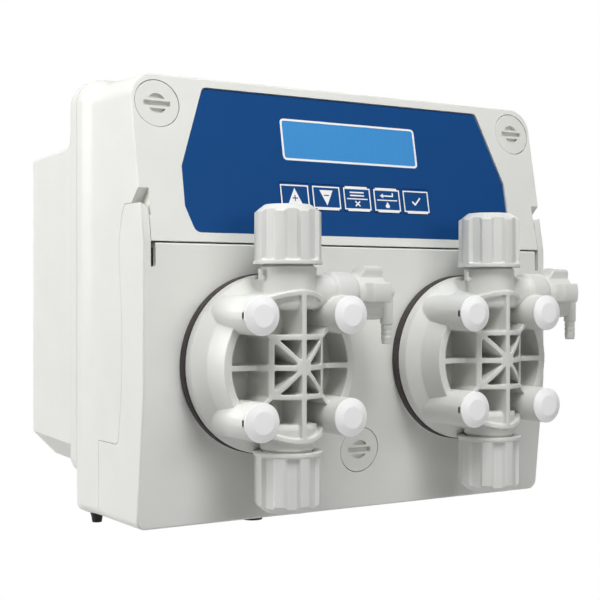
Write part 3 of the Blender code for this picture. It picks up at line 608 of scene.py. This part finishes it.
def make_lower_cover():
    """Cover below the seam: two narrow slots, a pad and a hole for each head, and the lower screw's seat."""
    cover = outer_shell("lower_shell", STEP_DEPTH + 20)
    combine(cover, cover_limits(0.0, COVER_EDGE), "INTERSECT")
    chamfer = [(-0.4, COVER_EDGE - 1.0), (1.0, COVER_EDGE + 0.4), (-0.4, COVER_EDGE + 0.4)]
    cut(cover, prism("chamfer", chamfer, -TAB_X, TAB_X))
    inside = CASE_HALF - 3.4
    ceiling, floor = SEAM - SHELL_WALL, BOTTOM + SHELL_WALL
    room = [(face_depth(r, SHELL_WALL), r) for r in (ceiling, LOW_BEND, floor)]
    room += [(90.0, floor), (90.0, ceiling)]
    cut(cover, prism("room", room, -inside, inside))
    for sign in (-1, 1):
        slot = round_corners(rectangle((sign * 121.4, 57.0), (2.5, 19.2)), 1.24, 5)
        cut(cover, front_prism("slot", slot, -5, 12))
    for side in SIDES:
        x = HEAD_X[side]
        join(cover, turned("pad", [(44.3, 0.0), (44.3, 8.5)], (x, -0.02, 0), (0, 1, 0), 96))
        cut(cover, rod("hole", 40.0, (x, -10, 0), (0, 1, 0), 40, 72))
    join(cover, plate("boss", disc((0, 0), SCREW_R + 2.2), 1.0, 6.5, LOW_FACE))
    cut(cover, plate("seat", disc((0, 0), SCREW_R + 0.3), -5, 3.2, LOW_FACE))
    cut(cover, plate("hole", disc((0, 0), 3.4, 24), -5, 20, LOW_FACE))
    finish(clean(cover), LOOKS["shell"], "housing", ["lower_cover"])


def make_rear_case():
    """Flange against the front case, and the plain tail that runs back to the wall."""
    front = CASE_SPLIT + FLANGE_GAP
    low = (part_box("rear_case")[0].z - HEAD_Z) / MM
    stations = [
        (front, FLANGE_HALF - 0.5, FLANGE_TOP - 0.5),
        (front + 0.5, FLANGE_HALF, FLANGE_TOP),
        (RIM_BACK - 3.4, FLANGE_HALF, FLANGE_TOP),
        (RIM_BACK - 1.5, FLANGE_HALF - 0.2, FLANGE_TOP - 0.6),
        (RIM_BACK - 0.3, FLANGE_HALF - 0.6, FLANGE_TOP - 2.2),
    ]
    rings = [(d, section(h, low - 2.0, t, 9, 12.5)) for d, h, t in stations]
    case = depth_loft("rear_shell", rings)
    tail = []
    top, back = 112.6, DEPTH + 1.0
    for i in range(9):
        t = i / 8
        lift = 16.0 * (1 - math.sqrt(1 - (1 - t) ** 2))
        outline = section(FLANGE_HALF - 0.5, low + 0.3, top + lift, 13.4, 2.0, True)
        tail.append((RIM_BACK - 1.4 + 8.5 * t, outline))
    half = FLANGE_HALF - 1.6
    tail.append((back - 0.6, section(half, low + 1.5, top - 1.7, 13.4, 1.2, True)))
    tail.append((back, section(half - 0.5, low + 2.0, top - 2.3, 13.2, 0.9, True)))
    join(case, depth_loft("tail", tail))
    room = [
        (front - 5, section(124.5, low + 4.5, 109.0, 12, 3, True, 3)),
        (DEPTH - SHELL_WALL, section(123.0, low + 4.5, 106.0, 12.5, 3, True, 3)),
    ]
    cut(case, depth_loft("room", room))
    finish(clean(case), LOOKS["shell"], "housing", ["rear_case"], angle=38)


def make_screws():
    for name, matrix, centre in SCREW_PLACES:
        shift = matrix @ Matrix.Translation(Vector((centre[0], 0, centre[1])) * MM)
        head = plate(name + "_head", disc((0, 0), SCREW_R - 0.02, 96), 0.1, 2.9, shift)
        bevel(head, 0.35, 2, 50)
        join(head, plate("shank", disc((0, 0), 3.0, 32), 2.0, 13.0, shift))
        slot = plate("slot", rectangle((0, 0), (14.2, 2.6)), -5, 2.3, shift)
        cut(head, slot)
        for sign in (-1, 1):
            keep = []
            for i in range(13):
                angle = math.pi * (0.165 + 0.67 * i / 12)
                keep.append((5.1 * math.cos(angle), sign * 5.1 * math.sin(angle)))
            cut(head, plate("segment", keep, -5, 2.1, shift))
        finish(clean(head), LOOKS["screw"], name + "_body", [name], angle=40)


def make_panel():
    panel = plate("panel_sheet", panel_outline(), 0.8, 2.0, SLOPE)
    low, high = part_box("display_window")
    centre, opening = ((low.x + high.x) / 2 / MM, 56.0), (86.2, 22.2)
    cut(panel, plate("window", round_corners(rectangle(centre, opening), 2.2), -5, 10, SLOPE))
    for index in range(len(KEY_ORDER)):
        hole = round_corners(rectangle((key_x(index), KEY_UP), (17.7, 14.3)), 0.6, 3)
        cut(panel, plate("key_hole", hole, -5, 10, SLOPE))
    bevel(panel, 0.15, 2, 50)
    finish(clean(panel), LOOKS["panel"], "housing", ["keypad_panel"])
    window = plate("display_pane", round_corners(rectangle(centre, (85.6, 21.6)), 2.0), 0.9, 2.4, SLOPE)
    bevel(window, 0.2, 2, 50)
    finish(window, LOOKS["display"], "housing", ["display_window"])
    outer = round_corners(rectangle(centre, opening), 2.6, 6)
    inner = round_corners(rectangle(centre, (84.0, 20.0)), 1.6, 6)
    border = ring_plate("display_border", outer, inner, 0.72, 1.1, SLOPE)
    finish(border, LOOKS["ink"], "housing", ())


def key_x(index):
    low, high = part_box(KEY_ORDER[index])
    return (low.x + high.x) / 2 / MM + KEY_SHIFT


def merge(name, parts):
    """One object from several closed pieces that don't touch."""
    bm = bmesh.new()
    for part in parts:
        bm.from_mesh(part.data)
        bpy.data.objects.remove(part)
    return add_mesh(name, bm)


def bar(start, end, width):
    """Outline of a straight stroke."""
    a, b = Vector(start), Vector(end)
    along = (b - a).normalized()
    across = Vector((-along.y, along.x)) * width / 2
    return [tuple(a - across), tuple(b - across), tuple(b + across), tuple(a + across)]


def key_print(index):
    """Outlines of the printed picture on each key, about the key's middle."""
    if index == 0:
        return [[(-4.1, -3.9), (4.1, -3.9), (0.0, 4.3)]]
    if index == 1:
        return [[(-4.1, 3.9), (0.0, -4.3), (4.1, 3.9)]]
    if index == 2:
        rows = [bar((-4.5, z), (4.5, z), 0.75) for z in (1.8, 3.5)]
        cross = [bar((-1.5, -3.9), (1.5, -1.3), 0.75), bar((-1.5, -1.3), (1.5, -3.9), 0.75)]
        return rows + [bar((-6.6, 0.0), (6.6, 0.0), 0.6)] + cross
    if index == 3:
        return [
            [(-4.6, 2.4), (-2.4, 1.1), (-2.4, 3.7)],
            bar((-2.5, 2.4), (3.8, 2.4), 0.75),
            bar((3.8, 2.02), (3.8, 4.2), 0.75),
            bar((-6.6, 0.0), (6.6, 0.0), 0.6),
            [(0.0, -0.9), (-1.5, -3.2), (-0.9, -4.2), (0.9, -4.2), (1.5, -3.2)],
        ]
    return [bar((-2.6, 0.0), (-0.7, -1.9), 0.9), bar((-0.95, -1.9), (2.8, 2.1), 0.9)]


def make_keys():
    """Key films, each with a printed frame, a picture and thicker bars above or below it."""
    for index, name in enumerate(KEY_ORDER):
        shift = SLOPE @ Matrix.Translation(Vector((key_x(index), 0, KEY_UP)) * MM)
        cap = plate(name + "_pad", round_corners(rectangle((0, 0), (17.1, 13.7)), 0.5, 3), 0.65, 2.1, shift)
        bevel(cap, 0.15, 2, 50)
        finish(cap, LOOKS["key"], name + "_body", [name])
        outer = rectangle((0, 0), (17.0, 11.9))
        inner = rectangle((0, 0), (15.6, 10.5))
        parts = [ring_plate("frame", outer, inner, 0.59, 0.68, shift)]
        for k, outline in enumerate(key_print(index)):
            parts.append(plate("print", outline, 0.588 - 0.002 * k, 0.68, shift))
        if index in (2, 3):
            parts.append(plate("print", rectangle((-0.3, 6.1), (14.0, 1.3)), 0.57, 0.68, shift))
        if index:
            parts.append(plate("print", rectangle((0.4, -6.1), (13.8, 1.3)), 0.57, 0.68, shift))
        if index < 2:
            level, reach = (1.1 if index else -1.1), 1.6
            holes = [bar((-reach, level), (reach, level), 0.6)]
            if index == 0:
                holes.append(bar((0, level - reach), (0, level + reach), 0.6))
            for k, hole in enumerate(holes):
                cut(parts[1], plate("hole", hole, 0.4 - 0.05 * k, 0.9, shift))
        print_piece = merge(name + "_print", parts)
        finish(print_piece, LOOKS["ink"], name + "_body", (), weighted=False)


# ---------------------------------------------------------------- pump ends

def boss_places():
    return [(sx * BOSS, sz * BOSS) for sz in (1, -1) for sx in (-1, 1)]


def dome_front(across):
    """Depth of the arched front of the head's walls and ribs."""
    share = max(0.0, 1 - (across / DOME_HALF) ** 2)
    return WALL_FRONT - DOME_HEIGHT * share


def rib(start, end, width, steps=16, least=0.0):
    """A rib across the pockets, whose front follows the arch of the head or stands out at least so far."""
    a, b = Vector(start), Vector(end)
    across = Vector((a.y - b.y, b.x - a.x)).normalized() * width / 2
    rings = []
    for i in range(steps + 1):
        at = a + (b - a) * i / steps
        one, two = at + across, at - across
        fronts = [min(dome_front(p.x), -least) for p in (one, two)]
        corners = [(one, -9.0), (two, -9.0), (two, fronts[1]), (one, fronts[0])]
        rings.append([place(p.x, depth, p.y) for p, depth in corners])
    return loft("rib", rings)


def arc_wall(inner, outer, start, end, back, steps=24):
    """A stretch of round wall between two angles from +X, with its front on the head's arch."""
    rings = []
    for i in range(steps + 1):
        angle = math.radians(start + (end - start) * i / steps)
        c, s = math.cos(angle), math.sin(angle)
        front = dome_front(outer * c)
        corners = [(inner, back), (outer, back), (outer, front), (inner, front)]
        rings.append([place(r * c, depth, r * s) for r, depth in corners])
    return loft("arc", rings)


def make_head_mesh():
    """The moulded head about its own axis: flange, walls, ribs, bosses, necks and bleed collar."""
    base = [(31.0, 8.0), (31.0, 5.3), (44.3, 5.3), (44.3, 11.3), (38.9, 17.7), (36.5, 30.4)]
    base += [(33.9, 30.4), (33.9, 14.4)]
    parts = [turned("base", base, (0, 0, 0), (0, -1, 0), 144)]
    for middle in (0, 180):
        parts.append(arc_wall(32.4, 35.0, middle - 51, middle + 51, -12.0))
    for middle in (90, 270):
        parts.append(arc_wall(33.9, 36.3, middle - 31.5, middle + 31.5, -25.0))
    parts.append(rib((0, -35), (0, 35), 2.7))
    parts.append(rib((-34.5, -0.3), (34.5, -0.3), 2.6, 32))
    mid, reach = 14.1, 15.3
    for sign in (-1, 1):
        parts.append(rib((sign * mid, -reach), (sign * mid, reach), 2.4))
        parts.append(rib((-reach, sign * mid), (reach, sign * mid), 2.4))
        corner_at = BOSS - 5.2
        parts.append(rib((-corner_at, -sign * corner_at), (corner_at, sign * corner_at), 2.2, 24, 35.2))
        low, high = sorted((sign * 14.0, sign * 32.0))
        parts.append(box("channel", (-7.5, -23.5, low), (5.5, -9.0, high)))
    hub = [(7.5, 12.0), (5.0, 20.0), (4.3, 34.0), (4.1, 42.1)]
    parts.append(turned("hub", hub, (0, 0, 0), (0, -1, 0), 48))
    rise = [(13.0, 9.0), (12.6, 15.5), (10.5, 18.0), (7.0, 19.8), (3.0, 20.6)]
    parts.append(turned("floor_dome", rise, (0, 0, 0), (0, -1, 0), 48))
    bores, crisp = [], []
    for across, up in boss_places():
        boss = [(9.5, 10.3), (9.1, 22.3), (9.1, 43.4)]
        parts.append(turned("boss", boss, (across, 0, up), (0, -1, 0), 64))
        bore = [(2.7, -2.0), (2.7, 17.0), (5.6, 17.0), (5.6, 50.0)]
        bores.append(turned("bore", bore, (across, 0, up), (0, -1, 0), 32))
        sleeve = [(5.6, 30.0), (9.2, 16.0), (9.25, 22.0), (9.25, 43.75), (9.1, 43.9), (5.6, 43.9)]
        sleeve = turned("sleeve", sleeve, (across, 0, up), (0, -1, 0), 96, True)
        if across < 0:
            nick = (across - 11.0, -46.0, up - 1.6), (across - 8.85, -42.3, up + 1.6)
            cut(sleeve, box("nick", *nick))
            bores.append(box("nick", *nick))
        crisp.append(sleeve)
    for sign, face in ((1, 48.8), (-1, 40.8)):
        top = face - NECK_FOOT - 0.9
        neck = [(11.0, 0.0), (12.6, 0.7), (13.3, 2.4), (13.3, top - 0.6), (12.9, top), (12.0, top)]
        neck.append((12.0, top + 10))
        parts.append(turned("neck", neck, (0, NECK, sign * NECK_FOOT), (0, 0, sign), 80))
        web_foot = sign * WEB_FOOT
        low, high = sorted((web_foot, sign * (NECK_FOOT + top - (0.4 if sign > 0 else 1.6))))
        block = box("shoulder", (4.0, NECK - 6.0, low), (12.9, -20, high))
        bevel(block, 0.35, 2, 50)
        crisp.append(cut(block, rod("bore", NECK_BORE, (0, NECK, sign * 20), (0, 0, sign), 60, 48)))
        low, high = sorted((web_foot, sign * (NECK_FOOT + top - (6.0 if sign > 0 else 3.0))))
        parts.append(box("web", (-12.9, NECK, low), (12.9, -10, high)))
        bores.append(rod("bore", NECK_BORE, (0, NECK, sign * 31), (0, 0, sign), 40, 48))
    parts.append(box("lug", (-15.8, NECK - 1.4, 41.6), (-12.0, NECK + 1.4, 43.4)))
    parts.append(box("lug", (-15.8, NECK - 1.4, 41.6), (-14.7, NECK + 1.4, 46.6)))
    collar = [(8.5, 0.0), (8.5, 11.4), (8.9, 11.9), (10.0, 13.2), (10.3, 14.0), (10.3, 23.2), (10.0, 24.6)]
    collar.append((8.9, 26.0))
    parts.append(turned("collar", collar, (10.0, NECK, BLEED_RISE), (1, 0, 0), 64))
    bores.append(rod("bore", 5.4, (30, NECK, BLEED_RISE), (1, 0, 0), 20))
    room = [(12.1, 0.6), (17.8, 0.6), (17.8, 14.0), (12.1, 14.0)]
    bores.append(turned("nut_room", room, (0, NECK, -39.8), (0, 0, -1), 72, True))
    head = remesh(merge("head", parts), 0.4, 2, 0.33)
    cut(head, merge("bores", bores))
    return merge("head", [head] + crisp)


def flute(long, angle):
    """One flat-bottomed flute with round lower corners, cut into a nut's grip and out through its nose."""
    rings = []
    for radius, half, low in ((14.4, 2.15, 2.3), (14.55, 2.35, 2.2), (16.1, 4.3, 2.1), (19.0, 4.5, 2.1)):
        ring, soft = [(half, long + 5), (-half, long + 5)], 1.1
        for middle, start in ((-half + soft, 180), (half - soft, 270)):
            for i in range(5):
                a = math.radians(start + 90 * i / 4)
                ring.append((middle + soft * math.cos(a), low + soft + soft * math.sin(a)))
        rings.append([(radius, across, along) for across, along in ring])
    turn = Matrix.Rotation(angle, 3, "Z")
    return [[turn @ Vector(p) for p in ring] for ring in rings]


def make_nut(side, which, sign):
    """Union nut, open at its face, with eight flutes in its grip; it stands up (1) or hangs down (-1)."""
    node = f"{side}_{which}_nut"
    low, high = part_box(node)
    long = (high.z - low.z) / MM
    face = ((low.z if sign > 0 else high.z) - HEAD_Z) / MM
    profile = [(12.3, 12.0), (12.3, 0.6), (12.9, 0.0), (16.6, 0.0), (16.7, 0.12), (16.7, 1.45)]
    profile += [(16.6, 1.6), (16.3, 1.7), (16.2, long - 3.85), (16.1, long - 3.7)]
    profile += [(11.3, long - 0.1), (11.0, long), (6.4, long), (6.0, long - 0.4)]
    profile += [(6.0, 15.0), (11.0, 14.6), (12.3, 13.4)]
    nut = turned(node + "_grip", profile, (HEAD_X[side], NECK, face), (0, 0, sign), 160, True)
    for k in range(8):
        rings = flute(long, math.radians(-90 + 22.5 + 45 * k))
        flutes = [[place(HEAD_X[side] + p.x, NECK + p.y, face + sign * p.z) for p in ring] for ring in rings]
        cut(nut, loft("flute", flutes))
    bevel(clean(nut), 0.2, 2, 28)
    finish(nut, LOOKS["nut"], node + "_body", [node], angle=50)


def knob_shape(angle, along, radius):
    """Four wide lobes with hollow valleys between them, on a bell that is round where it starts."""
    across = 13.5 * abs(math.sin((angle + math.pi / 4) % (math.pi / 2) - math.pi / 4))
    lobe = max(0.0, min(1.0, (7.3 - across) / 2.6))
    lobe = lobe * lobe * (3 - 2 * lobe)
    return min(radius, 8.8 + 4.8 * lobe)


def make_bleed(side):
    """Four-lobed knob on the head's collar, and beyond it the outlet that turns down to a hose barb."""
    x = HEAD_X[side]
    low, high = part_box(side + "_bleed_knob")
    start, long = low.x / MM, (high.x - low.x) / MM
    profile = [(5.3, 0.3), (5.6, 0.0), (8.2, 0.0, 1), (8.7, 0.5, 1), (9.3, 2.2, 1)]
    for i in range(1, 10):
        t = i / 9
        profile.append((9.3 + 4.4 * (t * t * (3 - 2 * t)) ** 0.9, 2.2 + 4.3 * t, 1))
    for i in range(1, 7):
        profile.append((13.7, 6.5 + (long - 8.0) * i / 6, 1))
    for i in range(1, 7):
        a = math.pi / 2 * i / 6
        profile.append((12.2 + 1.5 * math.cos(a), long - 1.5 + 1.5 * math.sin(a), 1))
    profile += [(8.0, long), (5.6, long), (5.3, long - 0.3)]
    knob = turned(side + "_bleed_grip", profile, (start, NECK, BLEED_RISE), (1, 0, 0), 144, True, knob_shape)
    node = side + "_bleed_knob"
    finish(knob, LOOKS["head"], node + "_body", [node], angle=60, weighted=False)
    tip = (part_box(side + "_bleed_valve")[0].z - HEAD_Z) / MM
    stem = [(5.0, 0.0), (5.0, 22.7), (3.6, 23.2), (3.5, 29.0), (3.2, 30.6), (2.4, 31.4)]
    valve = turned(side + "_bleed_outlet", stem, (x + 30.4, NECK, BLEED_RISE), (1, 0, 0), 40)
    elbow = BLEED_RISE - 19.3
    fall = [(2.4, -3.1), (3.2, -2.0), (3.35, 0.0), (3.3, elbow - 0.3), (3.1, elbow), (2.6, elbow)]
    top = elbow + 0.9
    for ridge in range(3):
        fall += [(2.65, top + 2.6 * ridge), (2.95, top + 2.6 * ridge + 0.4), (2.65, top + 2.6 * ridge + 2.2)]
    fall += [(2.6, BLEED_RISE - tip - 0.5), (2.3, BLEED_RISE - tip)]
    join(valve, turned("fall", fall, (x + OUTLET_X, NECK, BLEED_RISE), (0, 0, -1), 40))
    cut(valve, rod("way", 1.4, (x + OUTLET_X, NECK, BLEED_RISE), (0, 0, -1), 40, 16))
    remesh(valve, 0.28, 2, 0.5)
    finish(valve, LOOKS["head"], "housing", [side + "_bleed_valve"], angle=60, weighted=False)


def make_pump_ends():
    head = make_head_mesh()
    for side in SIDES:
        x = HEAD_X[side]
        casting = bpy.data.objects.new(side + "_head_casting", head.data.copy())
        bpy.context.scene.collection.objects.link(casting)
        casting.data.transform(Matrix.Translation((x * MM, 0, 0)))
        finish(casting, LOOKS["head"], "housing", [side + "_pump_head"], angle=70, weighted=False)
        ring = fillet([(39.4, 0.0), (44.8, 0.0), (44.8, 4.6), (39.4, 4.6)], 0.6)
        gasket = turned(side + "_gasket_ring", ring, (x, -0.3, 0), (0, -1, 0), 144, True)
        finish(gasket, LOOKS["gasket"], "housing", [side + "_head_gasket"], angle=40)
        make_nut(side, "discharge", 1)
        make_nut(side, "suction", -1)
        make_bleed(side)
        for index, (across, up) in enumerate(boss_places(), start=1):
            plug = [(5.2, 36.0), (5.2, 44.0), (7.4, 44.4), (9.15, 44.4), (9.3, 44.55), (9.3, 44.8)]
            plug += [(9.15, 45.0), (5.6, 46.5), (5.35, 46.58), (4.8, 46.6)]
            cap = turned(f"{side}_cap_cover_{index}", plug, (x + across, 0, up), (0, -1, 0), 72)
            finish(cap, LOOKS["cap"], "housing", [f"{side}_cap_{index}"], angle=25)
    bpy.data.objects.remove(head)


def make_underside():
    for side in SIDES:
        low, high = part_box("foot_" + side)
        x, y = (low.x + high.x) / 2 / MM, ((low.y + high.y) / 2 - FACE_Y) / MM
        rise = (high.z - HEAD_Z) / MM
        profile = fillet([(2.0, 0.0), (3.5, 0.0), (3.5, 1.4), (2.9, 3.4), (2.5, 6.2), (1.0, 6.2)], 0.35, 3)
        foot = turned(f"foot_{side}_bumper", profile, (x, y, rise), (0, 0, -1), 48)
        finish(foot, LOOKS["rubber"], "housing", ["foot_" + side], angle=50)
    low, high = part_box("cable_gland")
    x, y = (low.x + high.x) / 2 / MM, ((low.y + high.y) / 2 - FACE_Y) / MM
    profile = [(2.6, -4.0), (4.6, -4.0), (4.6, 0.3), (7.2, 0.3), (7.6, 0.7), (7.6, 4.6), (7.2, 5.0)]
    profile.append((6.5, 5.4))
    for ridge in range(3):
        z = 6.4 + 1.7 * ridge
        profile += [(6.4, z), (6.4, z + 0.9), (5.9, z + 1.1), (5.9, z + 1.5)]
    profile += [(5.6, 12.6), (2.6, 12.6)]
    gland = turned("gland_sleeve", profile, (x, y, BOTTOM + 1.1), (0, 0, -1), 64, True)
    finish(gland, LOOKS["rubber"], "housing", ["cable_gland"], angle=40)


def dress_inner_nodes():
    """Finishes for the CAD pieces inside the housing and heads, which keep their own shape."""
    table = {"case_seal": "rubber", "control_board": "board"}
    for side in SIDES:
        table[side + "_diaphragm"] = "film"
        table[side + "_plunger"] = "steel"
        table[side + "_solenoid"] = "coil"
        for which in ("discharge", "suction"):
            table[f"{side}_{which}_valve"] = "head"
            table[f"{side}_{which}_ball"] = "ball"
        for index in range(1, 5):
            table[f"{side}_head_screw_{index}"] = "steel"
    for node, look in table.items():
        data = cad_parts[node].data
        data.materials.clear()
        data.materials.append(LOOKS[look])


# ---------------------------------------------------------------- stage

def make_stage():
    """A pale floor that sweeps up behind the part and shows white."""
    floor_z = cad_bounds[0][2] - 0.30
    bm = bmesh.new()
    rows = []
    steps, bend, turn = 14, 3.5, 1.6
    path = [(-3.0, floor_z), (bend, floor_z)]
    for i in range(1, steps + 1):
        a = math.pi / 2 * i / steps
        path.append((bend + turn * math.sin(a), floor_z + turn - turn * math.cos(a)))
    path.append((bend + turn, floor_z + 5.0))
    for y, z in path:
        rows.append([bm.verts.new((x, y, z)) for x in (-6.0, 0.0, 8.0)])
    for a, b in zip(rows, rows[1:]):
        for i in range(2):
            bm.faces.new((a[i], a[i + 1], b[i + 1], b[i]))
    floor = add_mesh("studio_floor", bm)
    floor.data.shade_smooth()
    made, tree, shader = new_material("studio_floor")
    coords = tree.nodes.new("ShaderNodeTexCoord").outputs["Object"]
    tone = mix_colour(tree, noise(tree, coords, 2.0), (0.60, 0.60, 0.60), (0.62, 0.62, 0.62))
    tree.links.new(tone, shader.inputs["Base Color"])
    shader.inputs["Roughness"].default_value = 0.9
    glow = tree.nodes.new("ShaderNodeEmission")
    glow.inputs["Strength"].default_value = 1.0
    mix = tree.nodes.new("ShaderNodeMixShader")
    path_node = tree.nodes.new("ShaderNodeLightPath")
    share = map_range(tree, path_node.outputs["Is Camera Ray"], 0.0, 1.0, 0.0, 1.0)
    tree.links.new(share, mix.inputs[0])
    tree.links.new(shader.outputs[0], mix.inputs[1])
    tree.links.new(glow.outputs[0], mix.inputs[2])
    tree.links.new(mix.outputs[0], tree.nodes["Material Output"].inputs["Surface"])
    floor.data.materials.append(made)


def area_light(name, position, target, size, watts):
    data = bpy.data.lights.new(name, "AREA")
    data.shape = "RECTANGLE"
    data.size, data.size_y = size
    data.energy = watts
    light = bpy.data.objects.new(name, data)
    bpy.context.scene.collection.objects.link(light)
    light.location = position
    light.rotation_euler = (Vector(target) - Vector(position)).to_track_quat("-Z", "Y").to_euler()


def make_light():
    world = bpy.data.worlds.new("studio")
    bpy.context.scene.world = world
    world.use_nodes = True
    tree = world.node_tree
    background = tree.nodes["Background"]
    path_node = tree.nodes.new("ShaderNodeLightPath")
    strength = map_range(tree, path_node.outputs["Is Camera Ray"], 0.0, 1.0, 0.085, 1.0)
    background.inputs["Color"].default_value = (1, 1, 1, 1)
    tree.links.new(strength, background.inputs["Strength"])
    area_light("side", (-1.4, 0.7, 0.55), (0, 0, 0), (0.9, 0.9), 23.5)
    area_light("front", (-0.25, -0.6, 0.76), (0, -0.1, 0.05), (0.5, 0.35), 6.4)
    area_light("right", (0.25, -1.5, 0.35), (0, -0.1, 0.05), (0.8, 0.5), 3.9)
    area_light("top", (0.0, -0.2, 1.4), (0, 0, 0), (1.2, 1.2), 3.5)
    area_light("far side", (1.4, 0.8, 0.45), (0, 0, 0), (0.9, 0.9), 9.0)


def make_camera():
    data = bpy.data.cameras.new("camera")
    camera = bpy.data.objects.new("camera", data)
    bpy.context.scene.collection.objects.link(camera)
    camera.location = place(-375.0, -540.5, 34.5)
    camera.rotation_euler = (math.radians(90), 0, -math.radians(31.84))
    data.sensor_width = 36.0
    data.lens = 74.9
    data.shift_y = -0.0097
    data.clip_start = 0.01
    data.clip_end = 50
    bpy.context.scene.camera = camera


make_camera()
make_stage()
make_light()
make_front_case()
make_lower_cover()
make_rear_case()
make_screws()
make_panel()
make_keys()
make_pump_ends()
make_underside()
dress_inner_nodes()

bpy.context.scene.view_settings.view_transform = "Standard"
